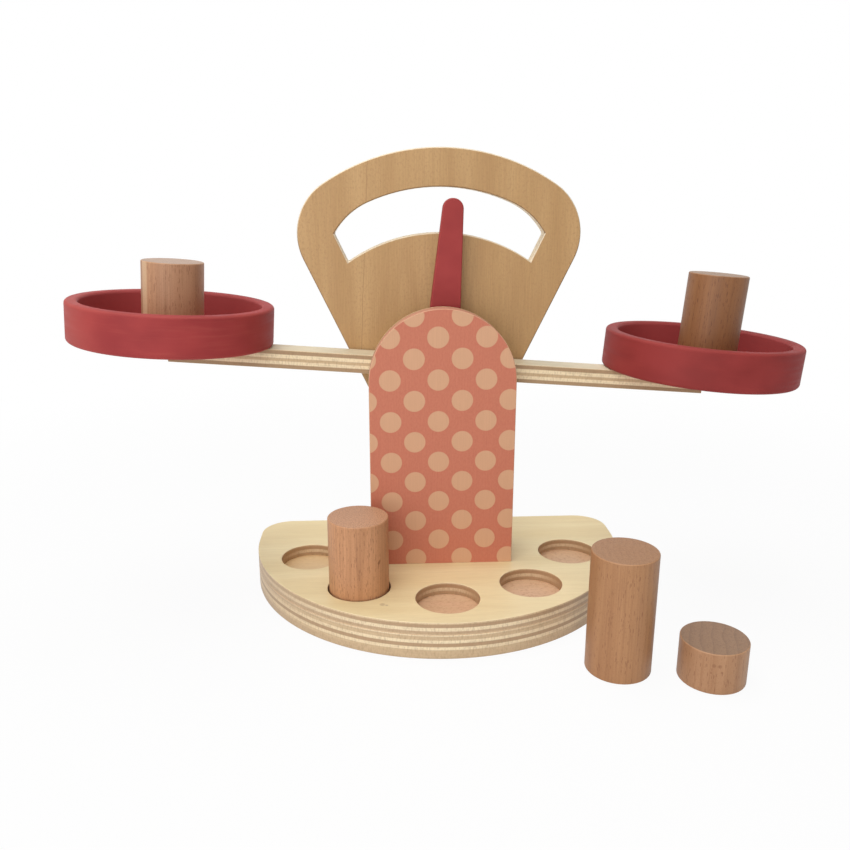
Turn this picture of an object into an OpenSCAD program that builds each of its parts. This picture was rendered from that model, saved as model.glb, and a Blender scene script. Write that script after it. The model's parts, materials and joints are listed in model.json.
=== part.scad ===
// Wooden balance scale toy: a D-shaped base of two boards with five recesses,
// two uprights that carry a swinging beam with a pan on each end and a pointer
// in front of a fan-shaped dial, and five cylinder weights. The origin is the
// middle of the base's underside. X runs along the beam and Y from front to back.

/* [Base] */
// Width of the base
base_w = 244; // [220:1:280]
// Thickness of the lower board
base_t = 15; // [12:0.5:20]
// Thickness of the upper board, whose holes are the recesses for the weights
recess_board_t = 7.5; // [5:0.5:12]
// Length of the straight sides between the front arc and the rear corners
base_side_l = 12; // [6:1:30]
// Radius of the rear corners
base_corner_r = 20; // [10:1:28]
// Distance from the base's front edge to the middle of the front recess
recess_inset = 30; // [26:0.5:34]
// Radius of the ring that the recesses lie on
recess_ring_r = 89; // [84:0.5:94]
// Angle between neighbouring recesses, seen from the middle of the ring
recess_step = 36; // [30:0.5:37]

/* [Uprights] */
// Width of the front panel and of the dial plate's foot
panel_w = 90; // [80:1:110]
// Height of the front panel above the base
panel_h = 163.5; // [155:0.5:185]
// Thickness of the sheet that both uprights are cut from
sheet_t = 11.5; // [9:0.5:16]
// Thickness of the strips that hold the uprights apart
strip_t = 6; // [4:0.5:7]

/* [Dial] */
// Height of the dial's top above the base
dial_h = 256; // [245:1:275]
// Height above the base at which the dial plate starts to flare out
flare_h = 108; // [100:0.5:115]
// Angle of the flared sides from upright
flare_angle = 25.5; // [22:0.5:28]
// Radius of the dial's top arc
dial_arc_r = 130; // [120:1:140]
// Radius of the dial's shoulders
dial_shoulder_r = 35.5; // [28:0.5:40]
// Width of the rim above the window
rim_w = 23; // [16:0.5:26]
// Width of the rim beside the window
rim_side_w = 24; // [18:0.5:28]
// Radius of the arc over the window
window_arc_r = 110; // [100:1:125]
// Radius of the shoulders that this arc runs into
window_shoulder_r = 45; // [40:1:50]
// Distance from the middle to the centres of these shoulders
window_shoulder_x = 26; // [22:0.5:30]
// Radius of the arc under the window
window_floor_r = 100; // [90:0.5:110]
// Height of the window at its middle
window_h = 27; // [20:0.5:34]

/* [Beam] */
// Length of the beam
beam_l = 332; // [310:1:350]
// Width of the beam
beam_w = 18; // [14:0.5:24]
// Thickness of the beam
beam_t = 11.5; // [9:0.5:15]
// Height of the pivot above the base
pivot_h = 124.8; // [120:0.2:130]
// Angle at which the beam rests, right side down
tilt = 4.1; // [-8:0.1:8]
// Largest swing of the beam from level
swing = 10; // [9:0.5:12]

/* [Pans] */
// Distance from the pivot to each pan's centre, along the beam
pan_x = 165; // [155:1:180]
// Diameter of a pan
pan_d = 121; // [100:1:126]
// Height of a pan
pan_h = 24; // [18:0.5:32]
// Wall thickness of a pan
pan_wall = 7.5; // [5:0.5:10]
// Floor thickness of a pan
pan_floor = 6; // [5:0.5:8]
// Rounding of a pan's edges
pan_edge_r = 2; // [1:0.25:2.25]

/* [Pointer] */
// Length of the pointer from the pivot to its tip
pointer_l = 102; // [90:1:106]
// Width of the pointer where it stands on the beam
pointer_w = 22; // [18:0.5:26]
// Thickness of the pointer
pointer_t = 6; // [4:0.5:8]
// Radius of the pointer's tip
tip_r = 6.3; // [4:0.1:8]
// Width of the tenon that runs through the beam and down as the tail
tenon_w = 16; // [12:0.5:17]

/* [Counterweight] */
// Distance from the pivot down to the counterweight's centre
pendulum_l = 92; // [80:1:94]
// Diameter of the counterweight
counterweight_d = 44; // [30:1:44]
// Thickness of the counterweight
counterweight_t = 17; // [10:0.5:18]

/* [Weights] */
// Diameter of the weights
weight_d = 36; // [30:0.5:38]
// Height of the smallest weight
smallest_h = 23.5; // [18:0.5:30]
// Height of the second weight
second_h = 42.5; // [36:0.5:46]
// Height of the middle weight
middle_h = 53; // [47:0.5:55]
// Height of the fourth weight
fourth_h = 57; // [55:0.5:62]
// Height of the tallest weight
tallest_h = 69.5; // [63:0.5:80]

/* [Hidden] */
$fn = 96;

// Clearances and the overrun that every cut shares
cut = 1;
recess_clearance = 1;
running_clearance = 0.05;
seat_clearance = 0.02;
tenon_clearance = 0.1;
screw_clearance = 0.05;
washer_gap = 0.1;
stop_clearance = 0.2;
standing_gap = 0.05;

// Edges
weight_edge = 0.8;
counterweight_edge = 1;
pan_fillet_r = 3;

// Pivot pin and washers
pin_d = 6;
pin_seat = 7.5;
washer_d = 16;
washer_t = 1;

// Counterweight pin, and the tail that runs past it
tail_past_pin = 7;
counterweight_pin_d = 4;

// Screws: shank, head, length, cross recess and tip
base_screw_d = 4;
base_screw_head_d = 8;
base_screw_l = 42;
base_screw_x = 28;
pan_screw_d = 3.5;
pan_screw_head_d = 7;
pan_screw_l = 15;
pan_screw_spacing = 30;
pan_screw_inset = 13;
screw_tip_l = 2;
head_recess = 0.5;
cross_w = 1;
cross_share = 0.6;
cross_depth_share = 0.6;

// Places of the weights: in the pans from the pan's centre, and loose on the
// table from the front arc, as a gap to the base and an angle from the front
second_at = [1.6, -5.8];
fourth_at = [2.1, -3.7];
tallest_gap = 22;
tallest_angle = 34;
smallest_gap = 61.5;
smallest_angle = 43.4;

// Derived sizes of the base
base_d = base_w / 2 + base_side_l + base_corner_r;
arc_y = (base_w - base_d) / 2;
deck_z = base_t + recess_board_t;
recess_d = weight_d + 2 * recess_clearance;
recess_ring_y = recess_inset + recess_ring_r - base_d / 2;

// Derived places of the uprights and of the beam between them
housing_gap = beam_w + 2 * (washer_t + washer_gap);
dial_y = sheet_t + housing_gap;
beam_y = sheet_t + housing_gap / 2;
pivot_z = deck_z + pivot_h;
strip_h = pivot_h - (beam_t / 2 + stop_clearance + panel_w / 2 * sin(swing)) / cos(swing);
dial_top = deck_z + dial_h;
flare_z = deck_z + flare_h;
upright_screw_y = [sheet_t / 2, dial_y + sheet_t / 2];
pan_screw_x = [pan_x - pan_screw_inset - pan_screw_spacing, pan_x - pan_screw_inset];

// A point at a distance and an angle from the front, about a centre on the Y axis
function around(centre_y, r, angle) = [r * sin(angle), centre_y - r * cos(angle)];
function recess_place(step) = around(recess_ring_y, recess_ring_r, step * recess_step);

// Places things on the beam, whose own frame has the pivot as its origin
module on_beam(at = [0, 0, 0]) {
    translate([0, beam_y, pivot_z])
        rotate([0, tilt, 0])
            translate(at)
                children();
}

// Turns an outline drawn in X and Z into a sheet that starts at y and runs back
module upright_sheet(y, thickness) {
    translate([0, y + thickness, 0])
        rotate([90, 0, 0])
            linear_extrude(thickness)
                children();
}

// A cylinder along Y that starts at y
module along_y(y, length, d) {
    translate([0, y, 0])
        rotate([-90, 0, 0])
            cylinder(h = length, d = d);
}

// Base: a lower board, and an upper board with the holes for the weights

module base_outline() {
    straight_d = base_d / 2 - arc_y;
    intersection() {
        translate([0, arc_y])
            circle(d = base_w, $fn = 180);
        translate([-base_w / 2, -base_d / 2])
            square([base_w, base_w / 2]);
    }
    translate([-base_w / 2, arc_y])
        square([base_w, base_side_l]);
    translate([base_corner_r - base_w / 2, arc_y])
        square([base_w - 2 * base_corner_r, straight_d]);
    for (side = [-1, 1])
        translate([side * (base_w / 2 - base_corner_r), arc_y + base_side_l])
            circle(r = base_corner_r);
}

module base_screw_places() {
    for (side = [-1, 1], y = upright_screw_y)
        translate([side * base_screw_x, y, 0])
            children();
}

module base_board() {
    color("burlywood")
        difference() {
            linear_extrude(base_t)
                base_outline();
            base_screw_places()
                screw_hole(base_screw_d, base_screw_head_d, base_t + cut);
        }
}

module recess(step) {
    place = recess_place(step);
    translate([place.x, place.y, base_t - cut])
        cylinder(h = recess_board_t + 2 * cut, d = recess_d);
}

module recess_board() {
    color("wheat")
        difference() {
            translate([0, 0, base_t])
                linear_extrude(recess_board_t)
                    base_outline();
            for (step = [-2 : 2])
                recess(step);
            base_screw_places()
                translate([0, 0, base_t - cut])
                    cylinder(h = recess_board_t + 2 * cut, d = base_screw_d + 2 * screw_clearance);
        }
}

// Screws, drawn with the head at the origin and the tip along +Z

module screw(d, head_d, length) {
    head_h = (head_d - d) / 2;
    difference() {
        rotate_extrude()
            polygon([
                [0, 0], [head_d / 2, 0], [d / 2, head_h],
                [d / 2, length - screw_tip_l], [0, length]
            ]);
        for (turn = [0, 90])
            rotate([0, 0, turn])
                translate([-head_d * cross_share / 2, -cross_w / 2, -cut])
                    cube([head_d * cross_share, cross_w, cut + head_h * cross_depth_share]);
    }
}

// The hole for such a screw, with the head sunk just under the face at z = 0
module screw_hole(d, head_d, length) {
    hole_d = d + 2 * screw_clearance;
    sink_d = head_d + 2 * screw_clearance;
    sink_h = (head_d - d) / 2;
    translate([0, 0, -cut])
        cylinder(h = cut + length, d = hole_d);
    translate([0, 0, -cut])
        cylinder(h = cut + head_recess, d = sink_d);
    translate([0, 0, head_recess])
        cylinder(h = sink_h, d1 = sink_d, d2 = hole_d);
}

module base_screws() {
    color("silver")
        base_screw_places()
            translate([0, 0, head_recess])
                screw(base_screw_d, base_screw_head_d, base_screw_l);
}

// The pilot holes in an upright whose sheet starts at y
module upright_pilots(y) {
    for (side = [-1, 1])
        translate([side * base_screw_x, y + sheet_t / 2, deck_z - cut])
            cylinder(h = cut + head_recess + base_screw_l - deck_z, d = base_screw_d + 2 * screw_clearance);
}

// Front panel

module panel_outline() {
    arch_z = deck_z + panel_h - panel_w / 2;
    translate([-panel_w / 2, deck_z])
        square([panel_w, arch_z - deck_z]);
    translate([0, arch_z])
        circle(d = panel_w);
}

module front_panel() {
    color("indianred")
        difference() {
            upright_sheet(0, sheet_t)
                panel_outline();
            translate([0, 0, pivot_z])
                along_y(sheet_t - pin_seat, pin_seat + cut, pin_d + 2 * seat_clearance);
            upright_pilots(0);
        }
}

// Dial plate. Its outline is a fan: a top arc, two shoulders and sides that lean
// out from a foot. A shoulder's centre lies on a line beside the flared side and
// touches the top arc from inside.

function flare_normal() = [cos(flare_angle), -sin(flare_angle)];
function flare_run() = [sin(flare_angle), cos(flare_angle)];

function shoulder_centre(top, arc_r, shoulder_r, foot) =
    let (
        arc_centre = [0, top - arc_r],
        start = foot - shoulder_r * flare_normal(),
        reach = start - arc_centre,
        along = reach * flare_run(),
        rest = reach * reach - pow(arc_r - shoulder_r, 2)
    )
    start + (sqrt(along * along - rest) - along) * flare_run();

// A top arc that runs into a shoulder on each side, over a body with the given
// lower points, from left to right
module shouldered_arc(top, arc_r, shoulder_r, centre, lower) {
    arc_centre = [0, top - arc_r];
    joint = arc_centre + (centre - arc_centre) * arc_r / (arc_r - shoulder_r);
    polygon(concat(lower, [joint, [-joint.x, joint.y]]));
    for (side = [-1, 1])
        translate([side * centre.x, centre.y])
            circle(r = shoulder_r);
    intersection() {
        translate(arc_centre)
            circle(r = arc_r, $fn = 180);
        translate([-joint.x, joint.y])
            square([2 * joint.x, top - joint.y + cut]);
    }
}

module fan_outline() {
    foot = [panel_w / 2, flare_z];
    centre = shoulder_centre(dial_top, dial_arc_r, dial_shoulder_r, foot);
    side = centre + dial_shoulder_r * flare_normal();
    shouldered_arc(dial_top, dial_arc_r, dial_shoulder_r, centre,
        [[-side.x, side.y], [-foot.x, foot.y], foot, side]);
}

// The window's flared sides cut the shoulders of its top off at a corner
module window_outline() {
    window_top = dial_top - rim_w;
    shoulder_rise = sqrt(pow(window_arc_r - window_shoulder_r, 2) - pow(window_shoulder_x, 2));
    centre = [window_shoulder_x, window_top - window_arc_r + shoulder_rise];
    foot = [panel_w / 2 - rim_side_w / cos(flare_angle), flare_z];
    side = foot + (window_top - flare_z) / cos(flare_angle) * flare_run();
    difference() {
        intersection() {
            shouldered_arc(window_top, window_arc_r, window_shoulder_r, centre,
                [[-centre.x, centre.y], centre]);
            polygon([[-foot.x, foot.y], foot, side, [-side.x, side.y]]);
        }
        translate([0, window_top - window_h - window_floor_r])
            circle(r = window_floor_r, $fn = 180);
    }
}

module dial_outline() {
    difference() {
        fan_outline();
        window_outline();
    }
    translate([-panel_w / 2, deck_z])
        square([panel_w, flare_h]);
}

module dial_plate() {
    color("tan")
        difference() {
            upright_sheet(dial_y, sheet_t)
                dial_outline();
            translate([0, 0, pivot_z])
                along_y(dial_y - cut, cut + pin_seat, pin_d + 2 * seat_clearance);
            upright_pilots(dial_y);
        }
}

// Spacer strips, whose tops stop the beam at the end of its swing

module spacer_strip(side) {
    color("tan")
        translate([side * (panel_w - strip_t) / 2 - strip_t / 2, sheet_t, deck_z])
            cube([strip_t, housing_gap, strip_h]);
}

module left_spacer_strip() {
    spacer_strip(-1);
}

module right_spacer_strip() {
    spacer_strip(1);
}

// Pivot pin and washers

module pivot_pin() {
    color("silver")
        translate([0, 0, pivot_z])
            along_y(sheet_t - pin_seat, 2 * pin_seat + housing_gap, pin_d);
}

module washer(y) {
    color("gainsboro")
        translate([0, 0, pivot_z])
            difference() {
                along_y(y, washer_t, washer_d);
                along_y(y - cut, washer_t + 2 * cut, pin_d + 2 * running_clearance);
            }
}

module front_washer() {
    washer(sheet_t);
}

module rear_washer() {
    washer(dial_y - washer_t);
}

// Beam

module pivot_bore(length) {
    along_y(-length / 2 - cut, length + 2 * cut, pin_d + 2 * running_clearance);
}

module pan_screw_places() {
    for (side = [-1, 1], x = pan_screw_x)
        translate([side * x, 0, -beam_t / 2])
            children();
}

module beam() {
    slot_w = tenon_w + 2 * tenon_clearance;
    slot_t = pointer_t + 2 * tenon_clearance;
    color("wheat")
        on_beam()
            difference() {
                translate([-beam_l / 2, -beam_w / 2, -beam_t / 2])
                    cube([beam_l, beam_w, beam_t]);
                translate([-slot_w / 2, -slot_t / 2, -beam_t / 2 - cut])
                    cube([slot_w, slot_t, beam_t + 2 * cut]);
                pivot_bore(beam_w);
                pan_screw_places()
                    screw_hole(pan_screw_d, pan_screw_head_d, beam_t + cut);
            }
}

// Pointer, drawn about the pivot in X and Z: the tail, the tenon and the blade,
// whose sides touch the round tip

module pointer_outline() {
    tail_l = pendulum_l + tail_past_pin;
    tip_z = pointer_l - tip_r;
    blade_l = tip_z - beam_t / 2;
    slope = atan(pointer_w / 2 / blade_l) - asin(tip_r / norm([pointer_w / 2, blade_l]));
    side_joint = [tip_r * cos(slope), tip_z + tip_r * sin(slope)];
    polygon([
        [-tenon_w / 2, -tail_l], [tenon_w / 2, -tail_l], [tenon_w / 2, beam_t / 2],
        [pointer_w / 2, beam_t / 2], side_joint, [-side_joint.x, side_joint.y],
        [-pointer_w / 2, beam_t / 2], [-tenon_w / 2, beam_t / 2]
    ]);
    translate([0, tip_z])
        circle(r = tip_r);
}

module counterweight_bore(length) {
    translate([0, 0, -pendulum_l])
        along_y(-length / 2 - cut, length + 2 * cut, counterweight_pin_d + 2 * seat_clearance);
}

module pointer() {
    color("firebrick")
        on_beam()
            difference() {
                upright_sheet(-pointer_t / 2, pointer_t)
                    pointer_outline();
                pivot_bore(pointer_t);
                counterweight_bore(pointer_t);
            }
}

// Counterweight, a slotted disc on the pointer's tail

module counterweight() {
    slot_w = tenon_w + 2 * tenon_clearance;
    slot_t = pointer_t + 2 * tenon_clearance;
    slot_floor = tail_past_pin + tenon_clearance;
    rim_r = counterweight_d / 2;
    half_t = counterweight_t / 2;
    color("slategray")
        on_beam()
            difference() {
                translate([0, 0, -pendulum_l])
                    rotate([90, 0, 0])
                        rotate_extrude()
                            polygon([
                                [0, -half_t], [rim_r - counterweight_edge, -half_t],
                                [rim_r, counterweight_edge - half_t], [rim_r, half_t - counterweight_edge],
                                [rim_r - counterweight_edge, half_t], [0, half_t]
                            ]);
                translate([-slot_w / 2, -slot_t / 2, -pendulum_l - slot_floor])
                    cube([slot_w, slot_t, slot_floor + rim_r + cut]);
                counterweight_bore(counterweight_t);
            }
}

module counterweight_pin() {
    color("silver")
        on_beam([0, 0, -pendulum_l])
            along_y(-counterweight_t / 2, counterweight_t, counterweight_pin_d);
}

// Pans

// A rectangle with round corners, from its lower left corner
module rounded_box(size, r) {
    translate([r, 0])
        square([size.x - 2 * r, size.y]);
    translate([0, r])
        square([size.x, size.y - 2 * r]);
    for (x = [r, size.x - r], y = [r, size.y - r])
        translate([x, y])
            circle(r = r, $fn = 48);
}

module pan_profile() {
    inner_r = pan_d / 2 - pan_wall;
    translate([inner_r, 0])
        rounded_box([pan_wall, pan_h], pan_edge_r);
    square([inner_r + pan_edge_r, pan_floor]);
    // fillet between the floor and the wall
    difference() {
        translate([inner_r - pan_fillet_r, pan_floor])
            square([pan_fillet_r + pan_edge_r, pan_fillet_r]);
        translate([inner_r - pan_fillet_r, pan_floor + pan_fillet_r])
            circle(r = pan_fillet_r, $fn = 48);
    }
}

module pan(side) {
    color("firebrick")
        on_beam()
            difference() {
                translate([side * pan_x, 0, beam_t / 2])
                    rotate_extrude($fn = 180)
                        pan_profile();
                pan_screw_places()
                    cylinder(h = head_recess + pan_screw_l, d = pan_screw_d + 2 * screw_clearance);
            }
}

module left_pan() {
    pan(-1);
}

module right_pan() {
    pan(1);
}

module pan_screws() {
    color("silver")
        on_beam()
            pan_screw_places()
                translate([0, 0, head_recess])
                    screw(pan_screw_d, pan_screw_head_d, pan_screw_l);
}

// Weights

module weight(height) {
    r = weight_d / 2;
    color("peru")
        rotate_extrude()
            polygon([
                [0, 0], [r - weight_edge, 0], [r, weight_edge],
                [r, height - weight_edge], [r - weight_edge, height], [0, height]
            ]);
}

// Stands a weight on the table in front of the board
module on_table(gap, angle) {
    place = around(arc_y, base_w / 2 + gap + weight_d / 2, angle);
    translate([place.x, place.y, 0])
        children();
}

// Stands a weight in a pan, at a place from the pan's centre
module in_pan(side, at) {
    on_beam([side * pan_x + at.x, at.y, beam_t / 2 + pan_floor + standing_gap])
        children();
}

module smallest_weight() {
    on_table(smallest_gap, smallest_angle)
        weight(smallest_h);
}

module second_weight() {
    in_pan(-1, second_at)
        weight(second_h);
}

// The middle weight stands in the recess to the left of the front one
module middle_weight() {
    place = recess_place(-1);
    translate([place.x, place.y, base_t + standing_gap])
        weight(middle_h);
}

module fourth_weight() {
    in_pan(1, fourth_at)
        weight(fourth_h);
}

module tallest_weight() {
    on_table(tallest_gap, tallest_angle)
        weight(tallest_h);
}

base_board();
recess_board();
front_panel();
dial_plate();
left_spacer_strip();
right_spacer_strip();
pivot_pin();
front_washer();
rear_washer();
base_screws();
beam();
pointer();
counterweight();
counterweight_pin();
left_pan();
right_pan();
pan_screws();
smallest_weight();
second_weight();
middle_weight();
fourth_weight();
tallest_weight();
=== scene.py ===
# Looks for the wooden balance scale: eased edges, turned pans and weights, plies,
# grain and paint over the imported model. Sizes are in metres.
import json
import math
import bmesh
import bpy
from mathutils import Matrix, Vector

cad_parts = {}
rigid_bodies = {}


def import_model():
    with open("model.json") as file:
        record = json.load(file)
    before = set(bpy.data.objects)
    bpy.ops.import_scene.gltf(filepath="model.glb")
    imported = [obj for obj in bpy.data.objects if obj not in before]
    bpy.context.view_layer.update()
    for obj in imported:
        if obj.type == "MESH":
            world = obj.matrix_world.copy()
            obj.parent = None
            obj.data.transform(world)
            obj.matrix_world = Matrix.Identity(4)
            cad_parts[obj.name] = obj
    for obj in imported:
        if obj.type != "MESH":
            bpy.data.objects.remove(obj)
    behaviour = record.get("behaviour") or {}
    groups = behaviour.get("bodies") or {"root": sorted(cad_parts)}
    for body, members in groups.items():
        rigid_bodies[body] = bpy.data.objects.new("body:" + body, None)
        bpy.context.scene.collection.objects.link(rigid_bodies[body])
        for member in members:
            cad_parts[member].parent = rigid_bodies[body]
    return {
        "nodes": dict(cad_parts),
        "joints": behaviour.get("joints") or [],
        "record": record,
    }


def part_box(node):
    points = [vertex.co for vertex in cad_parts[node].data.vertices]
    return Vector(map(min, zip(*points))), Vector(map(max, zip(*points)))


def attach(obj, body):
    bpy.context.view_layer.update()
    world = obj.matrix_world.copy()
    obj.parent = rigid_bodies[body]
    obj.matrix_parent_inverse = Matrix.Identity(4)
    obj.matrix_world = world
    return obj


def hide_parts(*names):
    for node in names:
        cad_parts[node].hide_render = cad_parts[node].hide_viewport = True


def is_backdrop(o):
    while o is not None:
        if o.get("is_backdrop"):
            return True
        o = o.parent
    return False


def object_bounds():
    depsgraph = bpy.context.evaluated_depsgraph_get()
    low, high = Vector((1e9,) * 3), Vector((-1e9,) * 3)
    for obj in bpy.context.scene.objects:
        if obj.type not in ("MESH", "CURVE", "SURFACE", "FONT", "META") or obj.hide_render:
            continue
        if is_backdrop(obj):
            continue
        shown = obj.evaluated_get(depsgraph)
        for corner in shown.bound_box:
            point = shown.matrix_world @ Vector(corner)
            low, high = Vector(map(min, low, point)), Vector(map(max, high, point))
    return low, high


scene = bpy.context.scene
# the startup cube, lamp and camera would count as part of the object
for thing in list(bpy.data.objects):
    bpy.data.objects.remove(thing)

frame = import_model()
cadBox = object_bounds()
record = frame["record"]
nodes = frame["nodes"]
bodyOf = {node: body for body, members in record["behaviour"]["bodies"].items() for node in members}
joints = {joint["name"]: joint for joint in frame["joints"]}

# the beam's own frame: its origin on the pivot, x along the beam, z up from it
lift = Vector(joints["second_weight_lift"]["axis"])
tilt = math.atan2(lift.x, lift.z)
pivot = Vector(joints["beam_swing"]["pos_m"])
onBeam = Matrix.Translation(pivot) @ Matrix.Rotation(tilt, 4, "Y")
print(f"frame loaded: {len(nodes)} nodes, beam at {math.degrees(tilt):.1f} degrees")


# node helpers, for shader and geometry trees alike

# links another node's socket to an input, or sets a plain value there
def feed(tree, socket, value):
    if isinstance(value, bpy.types.NodeSocket):
        tree.links.new(value, socket)
    else:
        socket.default_value = value


# adds a node, with its inputs by name or number
def put(tree, kind, inputs=None, **settings):
    node = tree.nodes.new(kind)
    for name, value in settings.items():
        setattr(node, name, value)
    for key, value in (inputs or {}).items():
        feed(tree, node.inputs[key], value)
    return node


# adds a node and gives its first output
def add(tree, kind, inputs=None, **settings):
    return put(tree, kind, inputs, **settings).outputs[0]


# the same for a geometry node, by its kind alone
def build(tree, kind, inputs=None, **settings):
    return add(tree, "GeometryNode" + kind, inputs, **settings)


def calc(tree, operation, *values):
    return add(tree, "ShaderNodeMath", dict(enumerate(values)), operation=operation)


def times(tree, first, second):
    return calc(tree, "MULTIPLY", first, second)


def minus(tree, first, second):
    return calc(tree, "SUBTRACT", first, second)


# vector arithmetic, which gives a vector or, for lengths and the like, a value
def vectorCalc(tree, operation, *values):
    node = put(tree, "ShaderNodeVectorMath", dict(enumerate(values)), operation=operation)
    return node.outputs["Value" if operation in ("LENGTH", "DISTANCE", "DOT_PRODUCT") else "Vector"]


# a vector times another, axis by axis
def scaled(tree, vector, factors):
    return vectorCalc(tree, "MULTIPLY", vector, factors)


def vectorOf(tree, **parts):
    return add(tree, "ShaderNodeCombineXYZ", parts)


def partOf(tree, vector, axis):
    return put(tree, "ShaderNodeSeparateXYZ", {"Vector": vector}).outputs[axis]


# how far a point lies from the z axis
def fromAxis(tree, vector):
    return vectorCalc(tree, "LENGTH", scaled(tree, vector, (1.0, 1.0, 0.0)))


# rises smoothly from toLow to toHigh while the value goes from low to high
def ranged(tree, value, low, high, toLow=0.0, toHigh=1.0):
    ends = {"Value": value, "From Min": low, "From Max": high, "To Min": toLow, "To Max": toHigh}
    return put(tree, "ShaderNodeMapRange", ends, interpolation_type="SMOOTHSTEP").outputs["Result"]


# a noise, whose scale says how often it changes in a metre along each axis; with None the
# vector is scaled already
def noise(tree, vector, scale, detail, roughness=0.5):
    if scale:
        vector = scaled(tree, vector, scale)
    inputs = {"Vector": vector, "Scale": 1.0, "Detail": detail, "Roughness": roughness}
    return add(tree, "ShaderNodeTexNoise", inputs)


def mixed(tree, share, first, second, mode="MIX"):
    inputs = {0: share, 6: first, 7: second}
    return put(tree, "ShaderNodeMix", inputs, data_type="RGBA", blend_type=mode).outputs[2]


# one colour over another where a pattern shows
def blend(tree, pattern, span, under, over):
    return mixed(tree, ranged(tree, pattern, *span), under, over)


# noises of the position, each to the output that has its name
def sendNoises(tree, given, result, form, *names):
    for name in names:
        feed(tree, result[name], noise(tree, given["Position"], *form[name]))


# where the shaded point is, or its normal, on the whole toy at rest
def seen(tree, kind="Object"):
    return put(tree, "ShaderNodeTexCoord").outputs[kind]


# a colour as a paint program gives it, 0 to 255, in the linear values that Blender mixes
def rgb(*levels):
    shares = [level / 255 for level in levels]
    return tuple(s / 12.92 if s <= 0.04045 else ((s + 0.055) / 1.055) ** 2.4 for s in shares) + (1.0,)


def floats(*labels):
    return dict.fromkeys(labels, "Float")


def makeGroup(name, inputs, outputs, kind="Shader"):
    tree = bpy.data.node_groups.new(name, kind + "NodeTree")
    for way, sockets in (("INPUT", inputs), ("OUTPUT", outputs)):
        for label, socketType in sockets.items():
            tree.interface.new_socket(label, in_out=way, socket_type="NodeSocket" + socketType)
    return tree, put(tree, "NodeGroupInput").outputs, put(tree, "NodeGroupOutput").inputs


def useGroup(tree, group, inputs):
    kind = tree.bl_idname.replace("Tree", "Group")
    return put(tree, kind, inputs, node_tree=group).outputs


# shared effects, each with its settings

# settings give a noise by its scale, detail and roughness, and pairs say where an effect
# begins and where it is full

# wood grain that runs along x: slow bands, year lines, fine fibres and short flecks
grainForm = {
    "tone": (None, 3.0),
    "slow": ((0.45, 0.45, 0.45), 1.0), "waves": 95.0, "crests": (0.35, 1.0),
    "Fibre": ((45.0, 1500.0, 1500.0), 3.0, 0.6),
    "fleck": (None, 3.0, 0.65), "fleckFineness": 760.0}


def makeFaceGrain():
    tree, given, result = makeGroup(
        "face grain", {"Position": "Vector"} | floats("Bands", "Stretch", "Fleck length"),
        floats("Tone", "Lines", "Fibre", "Mottle"))
    along = calc(tree, "DIVIDE", given["Bands"], given["Stretch"])
    drawn = scaled(tree, given["Position"], vectorOf(tree, X=along, Y=given["Bands"], Z=given["Bands"]))
    feed(tree, result["Tone"], noise(tree, drawn, *grainForm["tone"]))
    slow = noise(tree, drawn, *grainForm["slow"])
    wave = calc(tree, "SINE", times(tree, slow, grainForm["waves"]))
    feed(tree, result["Lines"], ranged(tree, wave, *grainForm["crests"]))
    sendNoises(tree, given, result, grainForm, "Fibre")
    shortness = calc(tree, "DIVIDE", 1.0, given["Fleck length"])
    cells = vectorOf(tree, X=shortness, Y=grainForm["fleckFineness"], Z=grainForm["fleckFineness"])
    short = scaled(tree, given["Position"], cells)
    feed(tree, result["Mottle"], noise(tree, short, *grainForm["fleck"]))
    return tree


# the edge of a sheet whose thickness runs along z: where it is, how deep each point lies
# in the stack of plies, and how far it faces along x rather than y
edgeForm = {
    "steepness": (0.80, 0.55), "leastSlope": 0.001,
    "sway": ((22.0, 22.0, 110.0), 2.0),
    "Pores": ((1000.0, 1000.0, 350.0), 3.0, 0.65),
    "Drift": ((60.0, 60.0, 620.0), 3.0, 0.6)}


def makePlyEdge():
    tree, given, result = makeGroup(
        "ply edge", {"Position": "Vector", "Normal": "Vector"} | floats("Thickness", "Wander"),
        floats("Edge", "Depth", "Side", "Pores", "Drift"))
    normal = put(tree, "ShaderNodeSeparateXYZ", {"Vector": given["Normal"]}).outputs
    flatness = calc(tree, "ABSOLUTE", normal["Z"])
    feed(tree, result["Edge"], ranged(tree, flatness, *edgeForm["steepness"]))
    towardX = times(tree, normal["X"], normal["X"])
    towardY = times(tree, normal["Y"], normal["Y"])
    both = calc(tree, "MAXIMUM", calc(tree, "ADD", towardX, towardY), edgeForm["leastSlope"])
    feed(tree, result["Side"], calc(tree, "DIVIDE", towardX, both))
    sway = noise(tree, given["Position"], *edgeForm["sway"])
    shift = times(tree, minus(tree, sway, 0.5), given["Wander"])
    height = calc(tree, "ADD", partOf(tree, given["Position"], "Z"), shift)
    share = calc(tree, "DIVIDE", height, given["Thickness"])
    feed(tree, result["Depth"], minus(tree, 1.0, share))
    sendNoises(tree, given, result, edgeForm, "Pores", "Drift")
    return tree


# worn or eased edges between faces that look along an axis and the faces round them
wearForm = {"patches": ((160.0, 160.0, 160.0), 3.0), "between": (0.15, 0.9)}


def makeEasedEdge():
    tree, given, result = makeGroup(
        "eased edge", {"Position": "Vector", "Normal": "Vector", "Axis": "Vector"} | floats("Patchiness"),
        floats("Wear"))
    along = vectorCalc(tree, "DOT_PRODUCT", given["Normal"], given["Axis"])
    square = times(tree, along, along)
    across = minus(tree, 1.0, square)
    between = times(tree, times(tree, square, across), 4.0)  # 1 halfway round the edge
    patches = noise(tree, given["Position"], *wearForm["patches"])
    loss = times(tree, minus(tree, 1.0, patches), given["Patchiness"])
    worn = minus(tree, ranged(tree, between, *wearForm["between"]), loss)
    feed(tree, result["Wear"], calc(tree, "MAXIMUM", worn, 0.0))
    return tree


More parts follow.
